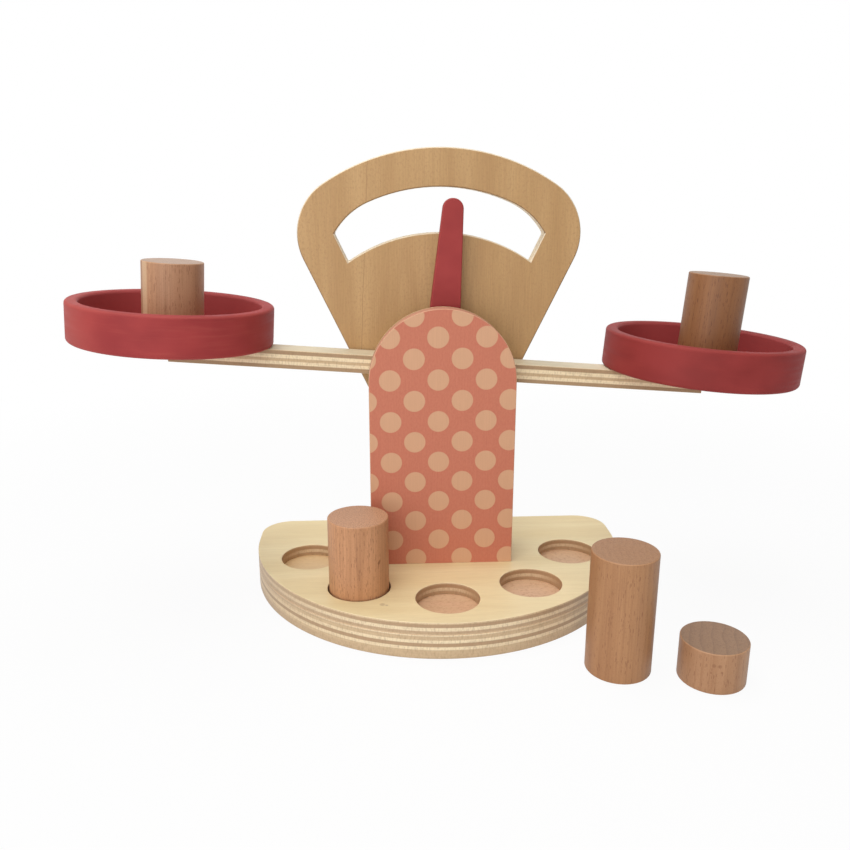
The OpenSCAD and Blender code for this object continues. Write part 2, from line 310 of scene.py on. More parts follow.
# round dots on a staggered lattice in the x, z plane: rows one above another, every
# second row moved by half a step
def makeStaggeredDots():
    tree, given, result = makeGroup(
        "staggered dots", {"Position": "Vector"} | floats("Half step", "Row", "Diameter", "Softness"),
        floats("Dots"))
    inPlane = (1.0, 0.0, 1.0)
    flat = scaled(tree, given["Position"], inPlane)
    cell = vectorOf(tree, X=given["Half step"], Y=1.0, Z=given["Row"])
    below = scaled(tree, cell, (-1.0, -1.0, -1.0))
    first = vectorCalc(tree, "WRAP", flat, cell, below)
    moved = vectorCalc(tree, "ADD", flat, scaled(tree, cell, inPlane))
    second = vectorCalc(tree, "WRAP", moved, cell, below)
    reach = calc(tree, "MINIMUM", vectorCalc(tree, "LENGTH", first),
                 vectorCalc(tree, "LENGTH", second))
    radius = times(tree, given["Diameter"], 0.5)
    inner = minus(tree, radius, given["Softness"])
    outer = calc(tree, "ADD", radius, given["Softness"])
    feed(tree, result["Dots"], ranged(tree, reach, inner, outer, 1.0, 0.0))
    return tree


# beech with its fibres along z: year rings about a pith, short dark flecks, fine fibres
# and the speckle of the sawn ends
beechForm = {
    "bend": ((70.0, 70.0, 9.0), 2.0), "bendReach": 0.004, "ringPower": 3.0,
    "fleckCells": (1700.0, 1700.0, 300.0), "fleckSizes": (0.55, 1.0, 0.0, 0.40), "fleckRim": 0.12,
    "Fibre": ((1000.0, 1000.0, 24.0), 3.0, 0.6),
    "Speckle": ((1300.0, 1300.0, 1300.0), 3.0, 0.7),
    "Tone": ((90.0, 90.0, 7.0), 2.0), "ends": (0.86, 0.97)}


def makeBeechFigure():
    tree, given, result = makeGroup(
        "beech figure", {"Position": "Vector", "Normal": "Vector", "Pith": "Vector", "Ring": "Float"},
        floats("Rings", "Flecks", "Fibre", "Speckle", "Tone", "Ends"))
    position = given["Position"]
    bend = times(tree, noise(tree, position, *beechForm["bend"]), beechForm["bendReach"])
    reach = calc(tree, "ADD", fromAxis(tree, vectorCalc(tree, "SUBTRACT", position, given["Pith"])), bend)
    turns = calc(tree, "FRACT", calc(tree, "DIVIDE", reach, given["Ring"]))
    feed(tree, result["Rings"], calc(tree, "POWER", turns, beechForm["ringPower"]))
    cells = scaled(tree, position, beechForm["fleckCells"])
    fleck = put(tree, "ShaderNodeTexVoronoi", {"Vector": cells, "Scale": 1.0}).outputs
    chance = add(tree, "ShaderNodeSeparateColor", {"Color": fleck["Color"]})
    size = ranged(tree, chance, *beechForm["fleckSizes"])
    rim = calc(tree, "ADD", size, beechForm["fleckRim"])
    feed(tree, result["Flecks"], ranged(tree, fleck["Distance"], size, rim, 1.0, 0.0))
    sendNoises(tree, given, result, beechForm, "Fibre", "Speckle", "Tone")
    flatness = calc(tree, "ABSOLUTE", partOf(tree, given["Normal"], "Z"))
    feed(tree, result["Ends"], ranged(tree, flatness, *beechForm["ends"]))
    return tree


# paint that has soaked unevenly into turned wood, whose axis is z: streaks that run round
# it, broad clouds and the small pores that stay open
soakForm = {
    "around": (26.0, 26.0, 0.0), "streaks": (None, 4.0, 0.6),
    "Clouds": ((34.0, 34.0, 60.0), 2.0),
    "Pores": ((1500.0, 1500.0, 1500.0), 2.0, 0.7)}


def makeSoakedPaint():
    tree, given, result = makeGroup(
        "soaked paint", {"Position": "Vector", "Streaks": "Float"}, floats("Streaks", "Clouds", "Pores"))
    around = scaled(tree, given["Position"], soakForm["around"])
    tall = vectorOf(tree, Z=times(tree, partOf(tree, given["Position"], "Z"), given["Streaks"]))
    drawn = vectorCalc(tree, "ADD", around, tall)
    feed(tree, result["Streaks"], noise(tree, drawn, *soakForm["streaks"]))
    sendNoises(tree, given, result, soakForm, "Clouds", "Pores")
    return tree


faceGrain = makeFaceGrain()
plyEdge = makePlyEdge()
easedEdge = makeEasedEdge()
staggeredDots = makeStaggeredDots()
beechFigure = makeBeechFigure()
soakedPaint = makeSoakedPaint()
print("shared effects made: grain, plies, eased edges, dots, beech, paint")


# materials

bumpStrength = 0.35
extraSockets = {"gloss": "Specular IOR Level", "metal": "Metallic", "depth": "Subsurface Weight"}
upward = (0.0, 0.0, 1.0)
middle = (0.3, 0.7)  # the span that most of a noise lies in


def newMaterial(name):
    material = bpy.data.materials.new(name)
    material.use_nodes = True
    material.node_tree.nodes.clear()
    return material, material.node_tree


# position and normal in a piece's own frame, given as the matrix that places it
def ownFrame(tree, place):
    inward = place.inverted()
    turn = inward.to_euler()
    position = {"Vector": seen(tree), "Location": inward.to_translation(), "Rotation": turn}
    normal = {"Vector": seen(tree, "Normal"), "Rotation": turn}
    return (add(tree, "ShaderNodeMapping", position, vector_type="POINT"),
            add(tree, "ShaderNodeMapping", normal, vector_type="VECTOR"))


def wornEdges(tree, position, normal, axis, patchiness):
    inputs = {"Position": position, "Normal": normal, "Axis": axis, "Patchiness": patchiness}
    return useGroup(tree, easedEdge, inputs)["Wear"]


# the surface shader, whose roughness changes by one amount where a pattern is low and by
# another where it is high
def finishSurface(tree, looks, colour, pattern, height):
    low, high, atLow, atHigh = looks["roughening"]
    roughness = ranged(tree, pattern, low, high, looks["roughness"] + atLow, looks["roughness"] + atHigh)
    relief = {"Height": height, "Strength": bumpStrength, "Distance": looks["relief"]}
    inputs = {"Base Color": colour, "Roughness": roughness, "Normal": add(tree, "ShaderNodeBump", relief)}
    extras = {label: looks[key] for key, label in extraSockets.items() if key in looks}
    shader = add(tree, "ShaderNodeBsdfPrincipled", inputs | extras)
    put(tree, "ShaderNodeOutputMaterial", {"Surface": shader})


# a stack of plies as a ramp over the sheet's depth: at how many millimetres from the face
# where own z is highest each ply ends, and its colour, with a thin glue line between
def plyRamp(tree, depth, plies, thickness, glue=0.16, millimetre=0.001):
    node = put(tree, "ShaderNodeValToRGB", {"Fac": depth})
    stops = node.color_ramp.elements
    start = 0.0
    marks = []
    for end, colour in plies:
        marks += [(start + glue, colour), (end - glue, colour)]
        start = end
    for number, (at, colour) in enumerate(marks):
        share = min(max(at * millimetre / thickness, 0.0), 1.0)
        stop = stops[number] if number < 2 else stops.new(share)
        stop.position = share
        stop.color = colour
    return node.outputs[0]


# what all plywood shares
plyFinish = {
    "fleckLength": 0.005, "toneRange": (0.32, 0.68), "mottleRange": (0.45, 0.75),
    "backRange": (-0.2, 0.2), "poreRange": (0.42, 0.75), "driftRange": (0.45, 0.8),
    # the span over which an eased rim turns from painted shade, facing down, to painted highlight, facing up
    "patchiness": 0.6, "paintedLightRimRange": (-0.25, 0.25), "fibreRange": (0.25, 0.75),
    "roughening": (0.2, 0.8, 0.08, -0.06), "fibreHeight": 0.6, "poreHeight": 1.4, "relief": 0.00018}


# a sheet's faces: bands, year lines and flecks, and a back of its own colour if it has one
def sheetFace(tree, looks, normal, grain):
    face = blend(tree, grain["Tone"], looks["toneRange"], looks["dark"], looks["light"])
    face = mixed(tree, times(tree, grain["Lines"], looks["lines"]), face, looks["line"])
    mottle = ranged(tree, grain["Mottle"], *looks["mottleRange"], 0.0, looks["mottle"])
    face = mixed(tree, mottle, face, looks["fleck"])
    if "back" in looks:
        up = ranged(tree, partOf(tree, normal, "Z"), *looks["backRange"])
        face = mixed(tree, up, looks["back"], face)
    return face


# a sheet's edges: one stack of plies where they face along y, another along x
def sheetEdge(tree, looks, ply, thickness):
    front = plyRamp(tree, ply["Depth"], looks["front"], thickness)
    side = plyRamp(tree, ply["Depth"], looks["side"], thickness)
    edge = mixed(tree, ply["Side"], front, side)
    pores = times(tree, ranged(tree, ply["Pores"], *looks["poreRange"]), looks["pores"])
    edge = mixed(tree, pores, edge, looks["pore"])
    drift = ranged(tree, ply["Drift"], *looks["driftRange"], 0.0, looks["drift"])
    return mixed(tree, drift, edge, looks["pore"])


# plywood with face grain along x and thickness along z of its own frame
def plywood(name, place, thickness, looks, facePaint=None, edgePaint=None):
    looks = plyFinish | looks
    material, tree = newMaterial(name)
    position, normal = ownFrame(tree, place)
    grain = useGroup(tree, faceGrain, {
        "Position": position, "Bands": looks["bands"], "Stretch": looks["stretch"],
        "Fleck length": looks["fleckLength"]})
    ply = useGroup(tree, plyEdge, {
        "Position": position, "Normal": normal, "Thickness": thickness, "Wander": looks["wander"]})
    wear = wornEdges(tree, position, normal, upward, looks["patchiness"])
    face = sheetFace(tree, looks, normal, grain)
    if facePaint:
        face = facePaint(tree, normal, face)
    edge = sheetEdge(tree, looks, ply, thickness)
    if edgePaint:
        edge = edgePaint(tree, edge)
    colour = mixed(tree, ply["Edge"], face, edge)
    # eased edges take the rim colour: worn wood with a painted highlight where they face up and painted shade
    # where they face down
    facing = partOf(tree, seen(tree, "Normal"), "Z")
    rim = blend(tree, facing, looks["paintedLightRimRange"], looks["under"], looks["eased"])
    colour = mixed(tree, times(tree, wear, looks["wear"]), colour, rim)
    fibres = ranged(tree, grain["Fibre"], *looks["fibreRange"], 1.0 - looks["fibre"], 1.0)
    colour = mixed(tree, 1.0, colour, fibres, "MULTIPLY")
    openPores = times(tree, ply["Pores"], ply["Edge"])
    height = calc(tree, "ADD", times(tree, grain["Fibre"], looks["fibreHeight"]),
                  times(tree, openPores, looks["poreHeight"]))
    finishSurface(tree, looks, colour, grain["Fibre"], height)
    return material


# small knots and flecks at places of their own, each a point and a radius
def spotted(tree, colour, spots, shade, strength, core=0.4):
    point = seen(tree)
    for place, radius in spots:
        reach = vectorCalc(tree, "DISTANCE", point, place)
        colour = mixed(tree, ranged(tree, reach, radius * core, radius, strength, 0.0), colour, shade)
    return colour


def giveMaterial(piece, material):
    piece.data.materials.clear()
    piece.data.materials.append(material)


# pieces

weld = 2e-6
easing = {"flat": math.radians(0.2), "sharp": math.radians(30), "segments": 3}


def addObject(name, data):
    thing = bpy.data.objects.new(name, data)
    scene.collection.objects.link(thing)
    return thing


# puts a finished piece on its body, in place of the CAD node
def standFor(piece, node):
    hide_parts(node)
    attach(piece, bodyOf[node])


# sorts edges into chains of edges that touch
def chainsOf(edges):
    left = set(edges)
    while left:
        chain = {left.pop()}
        reached = set(chain)
        while reached:
            near = {other for edge in reached for vert in edge.verts for other in vert.link_edges}
            reached = near & left
            left -= reached
            chain |= reached
        yield chain


# a copy of a CAD node's mesh, merged, with its long rims eased; rims shorter than the
# length given, such as those of the screw holes, stay sharp
def easedCopy(node, name, material, ease, shortest=0.06):
    mesh = bpy.data.meshes.new(name)
    shape = bmesh.new()
    shape.from_mesh(nodes[node].data)
    bmesh.ops.remove_doubles(shape, verts=shape.verts, dist=weld)
    bmesh.ops.dissolve_limit(shape, angle_limit=easing["flat"], verts=shape.verts, edges=shape.edges)
    bevelled = shape.edges.layers.float.new("bevel_weight_edge")
    sharp = [edge for edge in shape.edges if edge.is_manifold and edge.calc_face_angle() > easing["sharp"]]
    for chain in chainsOf(sharp):
        if sum(edge.calc_length() for edge in chain) > shortest:
            for edge in chain:
                edge[bevelled] = 1.0
    for face in shape.faces:
        face.smooth = True
    for edge in sharp:
        edge.smooth = edge[bevelled] > 0
    shape.to_mesh(mesh)
    shape.free()
    piece = addObject(name, mesh)
    bevel = piece.modifiers.new("eased edges", "BEVEL")
    bevel.limit_method = "WEIGHT"
    bevel.width = ease
    bevel.segments = easing["segments"]
    shading = piece.modifiers.new("even shading", "WEIGHTED_NORMAL")
    shading.keep_sharp = True
    giveMaterial(piece, material)
    standFor(piece, node)


# the mesh that a Geometry Nodes tree makes of its sizes, as a plain object in its place
def grow(name, tree, sizes, place, material):
    piece = addObject(name, bpy.data.meshes.new(name))
    modifier = piece.modifiers.new(tree.name, "NODES")
    modifier.node_group = tree
    sockets = {item.name: item.identifier for item in tree.interface.items_tree if item.in_out == "INPUT"}
    given = {"Place": place.to_translation(), "Lean": place.to_euler(), "Material": material}
    for label, value in (sizes | given).items():
        modifier[sockets[label]] = value
    piece.update_tag()
    shown = piece.evaluated_get(bpy.context.evaluated_depsgraph_get())
    grown = bpy.data.meshes.new_from_object(shown)
    piece.modifiers.remove(modifier)
    piece.data = grown
    return piece


def evenShading(piece, weight=80):
    piece.modifiers.new("even shading", "WEIGHTED_NORMAL").weight = weight
    return piece


# turning: profiles about the z axis

placing = {"Place": "Vector", "Lean": "Rotation", "Material": "Material"}


# a profile through the corners, each a radius, a height and the rounding it gets
def cornerProfile(tree, corners, steps):
    line = build(tree, "MeshLine", {"Count": len(corners)})
    index = build(tree, "InputIndex")
    places = put(tree, "GeometryNodeIndexSwitch", {0: index}, data_type="VECTOR")
    roundings = put(tree, "GeometryNodeIndexSwitch", {0: index}, data_type="FLOAT")
    for number, (radius, height, rounding) in enumerate(corners):
        if number > 1:
            places.index_switch_items.new()
            roundings.index_switch_items.new()
        feed(tree, places.inputs[number + 1], vectorOf(tree, X=radius, Z=height))
        feed(tree, roundings.inputs[number + 1], rounding)
    mesh = build(tree, "SetPosition", {"Geometry": line, "Position": places.outputs[0]})
    curve = build(tree, "MeshToCurve", {"Mesh": mesh})
    rounded = {"Curve": curve, "Count": steps, "Radius": roundings.outputs[0], "Limit Radius": True}
    return build(tree, "FilletCurve", rounded, mode="POLY")


# turns a profile that runs from the axis down and back to the axis into a closed mesh
def makeTurned():
    tree, given, result = makeGroup(
        "turned about z", {"Profile": "Geometry", "Radius": "Float", "Segments": "Int"},
        {"Mesh": "Geometry"}, "Geometry")
    ring = build(tree, "CurvePrimitiveCircle", {
        "Resolution": given["Segments"], "Radius": given["Radius"]})
    path = build(tree, "SetCurveNormal", {"Curve": ring}, mode="Z_UP")
    place = build(tree, "InputPosition")
    outward = minus(tree, partOf(tree, place, "X"), given["Radius"])
    laid = vectorOf(tree, X=outward, Y=times(tree, partOf(tree, place, "Z"), -1.0))
    profile = build(tree, "SetPosition", {"Geometry": given["Profile"], "Position": laid})
    mesh = build(tree, "CurveToMesh", {"Curve": path, "Profile Curve": profile})
    feed(tree, result["Mesh"], build(tree, "MergeByDistance", {"Geometry": mesh, "Distance": weld}))
    return tree


turned = makeTurned()


# the last steps of every tree: real geometry, smooth, in its place and in its material
def finishTree(tree, given, result, geometry):
    real = build(tree, "RealizeInstances", {"Geometry": geometry})
    smooth = build(tree, "SetShadeSmooth", {"Geometry": real, "Shade Smooth": True})
    placed = build(tree, "Transform", {
        "Geometry": smooth, "Translation": given["Place"], "Rotation": given["Lean"]})
    again = build(tree, "RealizeInstances", {"Geometry": placed})
    named = build(tree, "SetMaterial", {"Geometry": again, "Material": given["Material"]})
    feed(tree, result["Geometry"], named)
    tree.is_modifier = True


# a tree that turns one piece, with the corners of its profile from a function of its sizes
def makeTurnedTree(name, sizes, cornersOf, steps):
    inputs = floats(*sizes) | {"Segments": "Int"} | placing
    tree, given, result = makeGroup(name, inputs, {"Geometry": "Geometry"}, "Geometry")
    profile = cornerProfile(tree, cornersOf(tree, given), steps)
    mesh = useGroup(tree, turned, {
        "Profile": profile, "Radius": given["Radius"], "Segments": given["Segments"]})[0]
    finishTree(tree, given, result, mesh)
    return tree


def panCorners(tree, given):
    inner = minus(tree, given["Radius"], given["Wall"])
    return [
        (0.0, given["Floor"], 0.0),
        (inner, given["Floor"], given["Corner"]),
        (inner, given["Height"], given["Edge"]),
        (given["Radius"], given["Height"], given["Edge"]),
        (given["Radius"], 0.0, given["Edge"]),
        (0.0, 0.0, 0.0)]


def weightCorners(tree, given):
    return [
        (0.0, given["Height"], 0.0),
        (given["Radius"], given["Height"], given["Edge"]),
        (given["Radius"], 0.0, given["Edge"]),
        (0.0, 0.0, 0.0)]


screwForm = {
    "tipRounding": 0.0002, "neckRounding": 0.0004, "rimRounding": 0.00015, "steps": 3, "segments": 32,
    "crossReach": 1.2, "crossDepth": 1.2, "threadedShare": 0.6, "pointsATurn": 20}


# the cross recess, cut into the head by two bars
def cutCross(tree, given, shape, sink):
    reach = times(tree, given["Head radius"], screwForm["crossReach"])
    deep = times(tree, sink, screwForm["crossDepth"])
    cross = put(tree, "GeometryNodeMeshBoolean", operation="DIFFERENCE", solver="EXACT")
    feed(tree, cross.inputs["Mesh 1"], shape)
    for across, along in ((given["Cross width"], reach), (reach, given["Cross width"])):
        bar = build(tree, "MeshCube", {"Size": vectorOf(tree, X=across, Y=along, Z=deep)})
        feed(tree, cross.inputs["Mesh 2"], bar)
    return cross.outputs[0]


# the thread, a ridge that winds round the shank's part next to the tip
def windThread(tree, given, shoulder):
    threaded = times(tree, shoulder, screwForm["threadedShare"])
    helix = build(tree, "CurveSpiral", {
        "Resolution": screwForm["pointsATurn"], "Rotations": calc(tree, "DIVIDE", threaded, given["Pitch"]),
        "Start Radius": given["Shank radius"], "End Radius": given["Shank radius"],
        "Height": threaded})
    risen = vectorOf(tree, Z=minus(tree, shoulder, threaded))
    helix = build(tree, "Transform", {"Geometry": helix, "Translation": risen})
    triangle = build(tree, "CurvePrimitiveCircle", {"Resolution": 3, "Radius": given["Thread"]})
    return build(tree, "CurveToMesh", {"Curve": helix, "Profile Curve": triangle, "Fill Caps": True})


# four places, at half of each step one way and the other
def fourPlaces(tree, given):
    square = build(tree, "MeshGrid", {"Size X": 1.0, "Size Y": 1.0, "Vertices X": 2, "Vertices Y": 2})
    corner = build(tree, "InputPosition")
    first = scaled(tree, given["First step"], partOf(tree, corner, "X"))
    second = scaled(tree, given["Second step"], partOf(tree, corner, "Y"))
    moved = vectorCalc(tree, "ADD", first, second)
    return build(tree, "SetPosition", {"Geometry": square, "Position": moved})


# four countersunk screws with cross recesses and threads, each with its head at z = 0 and
# its tip up
def makeScrewTree():
    sizes = floats("Shank radius", "Head radius", "Length", "Tip", "Cross width", "Pitch", "Thread")
    inputs = sizes | {"First step": "Vector", "Second step": "Vector"} | placing
    tree, given, result = makeGroup("screws", inputs, {"Geometry": "Geometry"}, "Geometry")
    sink = minus(tree, given["Head radius"], given["Shank radius"])
    shoulder = minus(tree, given["Length"], given["Tip"])
    profile = cornerProfile(tree, [
        (0.0, given["Length"], 0.0),
        (given["Shank radius"], shoulder, screwForm["tipRounding"]),
        (given["Shank radius"], sink, screwForm["neckRounding"]),
        (given["Head radius"], 0.0, screwForm["rimRounding"]),
        (0.0, 0.0, 0.0)], screwForm["steps"])
    shape = useGroup(tree, turned, {
        "Profile": profile, "Radius": given["Head radius"], "Segments": screwForm["segments"]})[0]
    whole = put(tree, "GeometryNodeJoinGeometry")
    feed(tree, whole.inputs[0], cutCross(tree, given, shape, sink))
    feed(tree, whole.inputs[0], windThread(tree, given, shoulder))
    screws = {"Points": fourPlaces(tree, given), "Instance": whole.outputs[0]}
    finishTree(tree, given, result, build(tree, "InstanceOnPoints", screws))
    return tree


panSizes = ["Radius", "Height", "Wall", "Floor", "Edge", "Corner"]
panTree = makeTurnedTree("turned pan", panSizes, panCorners, steps=7)
weightTree = makeTurnedTree("turned weight", ["Radius", "Height", "Edge"], weightCorners, steps=5)
screwTree = makeScrewTree()
print("turning and screw trees made")


# base: two boards glued face to face

basePly = {
    "bands": 46.0, "stretch": 11.0, "lines": 0.12, "fibre": 0.06, "mottle": 0.12,
    "light": rgb(242, 225, 178), "dark": rgb(232, 211, 160), "line": rgb(220, 196, 145),
    "fleck": rgb(214, 190, 140), "pore": rgb(158, 126, 90), "pores": 0.45, "drift": 0.25, "wander": 0.0004,
    # eased and under: the rim's painted highlight facing up and its painted shade facing down
    "wear": 0.25, "eased": rgb(246, 230, 192), "under": rgb(196, 162, 122),
    "roughness": 0.44, "gloss": 0.7}
creamPly, brownPly, bandPly = rgb(243, 222, 184), rgb(180, 148, 112), rgb(206, 178, 140)
tanPly, darkPly = rgb(218, 190, 150), rgb(194, 164, 129)
upperBoard = {
    "thickness": 0.0075, "low": 0.015,
    "looks": basePly | {
        "front": [(1.0, tanPly), (3.1, brownPly), (5.2, creamPly), (7.1, darkPly), (7.5, creamPly)],
        "side": [(0.7, tanPly), (2.4, darkPly), (4.6, bandPly), (7.5, darkPly)]}}
lowerBoard = {
    "thickness": 0.015, "low": 0.0,
    "looks": basePly | {
        "light": rgb(232, 194, 157), "dark": rgb(222, 182, 144), "back": rgb(238, 220, 176),
        "mottle": 0.7, "fleck": rgb(196, 148, 112), "fleckLength": 0.002,
        "front": [(0.8, creamPly), (3.3, bandPly), (5.2, creamPly), (7.5, brownPly), (9.4, creamPly),
                  (14.2, bandPly), (15.0, darkPly)],
        "side": [(1.8, darkPly), (5.4, tanPly), (7.4, brownPly), (11.0, tanPly), (15.0, darkPly)]}}
# painted shade for the recess walls: where the recesses are, its colour and its share
drilled = {
    "centre": (0.0, 0.042, 0.0), "reach": 0.1085, "behind": 0.036, "colour": rgb(160, 112, 72), "depth": 0.35}
# painted sheen on the top: brightness levels from the front to the back; and the knots
topKnotsAndPaintedSheen = {
    "places": (-0.12, -0.01), "levels": (0.90, 1.09), "knotShare": 0.4,
    "knots": [((-0.0385, -0.0535, 0.0225), 0.0022), ((-0.036, -0.0545, 0.0225), 0.0012)]}
paleRecess = {"spots": [((-0.0846, 0.0145, 0.015), 0.05)], "colour": rgb(244, 216, 160), "share": 0.6}


# the walls of the recesses are darker than the board's own edge: painted shade in the recesses
def paintRecessShade(tree, edge):
    point = seen(tree)
    reach = fromAxis(tree, vectorCalc(tree, "SUBTRACT", point, drilled["centre"]))
    inside = times(tree, calc(tree, "LESS_THAN", reach, drilled["reach"]),
                   calc(tree, "LESS_THAN", partOf(tree, point, "Y"), drilled["behind"]))
    return mixed(tree, times(tree, inside, drilled["depth"]), edge, drilled["colour"])


# the top veneer gets painted sheen, darker at the front and lighter toward the back, and has a small knot
def paintTopSheenAndKnot(tree, normal, wood):
    level = ranged(tree, partOf(tree, seen(tree), "Y"), *topKnotsAndPaintedSheen["places"], *topKnotsAndPaintedSheen["levels"])
    wood = mixed(tree, 1.0, wood, level, "MULTIPLY")
    return spotted(tree, wood, topKnotsAndPaintedSheen["knots"], basePly["pore"], topKnotsAndPaintedSheen["knotShare"])


# the floor of the far left recess is paler than the others
def floorVeneer(tree, normal, wood):
    return spotted(tree, wood, paleRecess["spots"], paleRecess["colour"], paleRecess["share"])


for node, name, board, veneer in (("base_board", "baseBoard", lowerBoard, floorVeneer),
                                  ("recess_board", "recessBoard", upperBoard, paintTopSheenAndKnot)):
    place = Matrix.Translation((0, 0, board["low"]))
    material = plywood(name, place, board["thickness"], board["looks"], veneer, paintRecessShade)
    easedCopy(node, name, material, ease=0.0005)
print("base boards eased")


# front panel: coral print with bare dots, only on the front face

dotPrint = {
    "coral": rgb(199, 120, 94), "coralDeep": rgb(195, 114, 90), "bare": rgb(211, 162, 127),
    "mottle": ((900.0, 900.0, 500.0), 3.0, 0.6), "mottleRange": (0.35, 0.7),
    "centre": (-0.0027, 0.0, 0.11712), "lean": 0.0082, "frontRange": (-0.97, -0.90),
    "lattice": {"Half step": 0.01464, "Row": 0.01297, "Diameter": 0.0131, "Softness": 0.00025}}
pinkPly, rosePly = rgb(214, 153, 128), rgb(198, 142, 115)
panelLooks = {
    "bands": 60.0, "stretch": 9.0, "lines": 0.08, "fibre": 0.05, "mottle": 0.1,
    "light": rgb(222, 190, 150), "dark": rgb(212, 178, 137), "line": rgb(196, 158, 116),
    "front": [(2.2, tanPly), (4.4, brownPly), (7.0, rosePly), (9.2, pinkPly), (11.5, pinkPly)],
    "side": [(2.3, tanPly), (4.6, rosePly), (6.9, pinkPly), (9.2, rosePly), (11.5, pinkPly)],
    "fleck": rgb(196, 158, 116), "pore": rgb(168, 122, 92), "pores": 0.2, "drift": 0.25, "wander": 0.0006,
    # eased and under: the rim's painted highlight facing up and its painted shade facing down
    "wear": 0.6, "patchiness": 0.5, "eased": rgb(210, 142, 118), "under": rgb(186, 128, 102),
    "roughness": 0.5, "gloss": 0.35}
sheetThickness = 0.0115
upright = Matrix(((0, 1, 0, 0), (0, 0, 1, 0), (1, 0, 0, 0), (0, 0, 0, 1)))  # own x runs up, own z runs back


# the print lies on the face that looks to the front, where own z is lowest
def printDots(tree, normal, wood):
    point = seen(tree)
    moved = vectorCalc(tree, "SUBTRACT", point, dotPrint["centre"])
    turn = {"Vector": moved, "Rotation": (0.0, dotPrint["lean"], 0.0)}
    level = add(tree, "ShaderNodeMapping", turn)
    dots = useGroup(tree, staggeredDots, {"Position": level} | dotPrint["lattice"])["Dots"]
    mottle = ranged(tree, noise(tree, point, *dotPrint["mottle"]), *dotPrint["mottleRange"])
    coral = mixed(tree, mottle, dotPrint["coral"], dotPrint["coralDeep"])
    printed = mixed(tree, dots, coral, dotPrint["bare"])
    bare = ranged(tree, partOf(tree, normal, "Z"), *dotPrint["frontRange"])
    return mixed(tree, bare, printed, wood)


frontPanel = plywood("dottedPanel", upright, sheetThickness, panelLooks, printDots)
easedCopy("front_panel", "frontPanel", frontPanel, ease=0.0005)
print("front panel printed")


# dial plate, which runs down behind the panel as the rear upright

# pale plies on the dial's edges: pale birch made paler by a painted highlight
palePly = rgb(251, 238, 212)
dialLooks = panelLooks | {
    "bands": 52.0, "stretch": 14.0, "lines": 0.16, "fibre": 0.11, "mottle": 0.8, "fleckLength": 0.0018,
    "light": rgb(201, 162, 112), "dark": rgb(188, 148, 99), "line": rgb(174, 132, 88),
    "front": [(2.2, palePly), (4.4, creamPly), (7.0, palePly), (9.2, creamPly), (11.5, palePly)],
    "side": [(2.3, creamPly), (4.6, palePly), (6.9, creamPly), (9.2, palePly), (11.5, creamPly)],
    "fleck": rgb(180, 138, 94), "pores": 0.25, "drift": 0.2,
    # the rim: a bright painted highlight where it faces up, dark painted shade where it faces down under the
    # window's arc
    "wear": 0.9, "eased": rgb(250, 234, 206), "under": rgb(122, 88, 56)}
seam = {
    "through": (-0.0440, 0.0, 0.269), "lean": 0.049, "width": 0.0004, "colour": rgb(150, 110, 72),
    "depth": 0.55, "wobble": ((0.0, 0.0, 45.0), 3.0), "wobbleWidth": 0.002}
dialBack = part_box("dial_plate")[0].y


# the line where two strips of the dial's veneer meet
def veneerSeam(tree, normal, wood):
    point = seen(tree)
    wobble = minus(tree, noise(tree, point, *seam["wobble"]), 0.5)
    moved = vectorCalc(tree, "SUBTRACT", point, seam["through"])
    sideways = (math.cos(seam["lean"]), 0.0, -math.sin(seam["lean"]))
    across = vectorCalc(tree, "DOT_PRODUCT", moved, sideways)
    off = calc(tree, "ABSOLUTE", calc(tree, "ADD", across, times(tree, wobble, seam["wobbleWidth"])))
    return mixed(tree, ranged(tree, off, 0.0, seam["width"], seam["depth"], 0.0), wood, seam["colour"])


dialPlace = Matrix.Translation((0, dialBack, 0)) @ upright
dialPlate = plywood("dialWood", dialPlace, sheetThickness, dialLooks, veneerSeam)
easedCopy("dial_plate", "dialPlate", dialPlate, ease=0.0011)


# strips between the uprights

stripLooks = {
    "grain": {"Bands": 120.0, "Stretch": 12.0, "Fleck length": 0.005},
    "light": rgb(222, 194, 150), "dark": rgb(206, 176, 130),
    "fibre": rgb(188, 156, 112), "fibreRange": (0.5, 0.85, 0.0, 0.6),
    "roughness": 0.66, "roughening": (0.2, 0.8, 0.06, -0.06), "relief": 0.0002, "gloss": 0.3}


def solidWood(name, looks):
    material, tree = newMaterial(name)
    position = ownFrame(tree, upright)[0]
    grain = useGroup(tree, faceGrain, {"Position": position} | looks["grain"])
    colour = blend(tree, grain["Tone"], middle, looks["dark"], looks["light"])
    colour = blend(tree, grain["Fibre"], looks["fibreRange"], colour, looks["fibre"])
    finishSurface(tree, looks, colour, grain["Fibre"], grain["Fibre"])
    return material


stripWood = solidWood("stripWood", stripLooks)
for node, name in (("left_spacer_strip", "leftStrip"), ("right_spacer_strip", "rightStrip")):
    easedCopy(node, name, stripWood, ease=0.0003, shortest=0.04)
print("dial plate and strips eased")


# beam

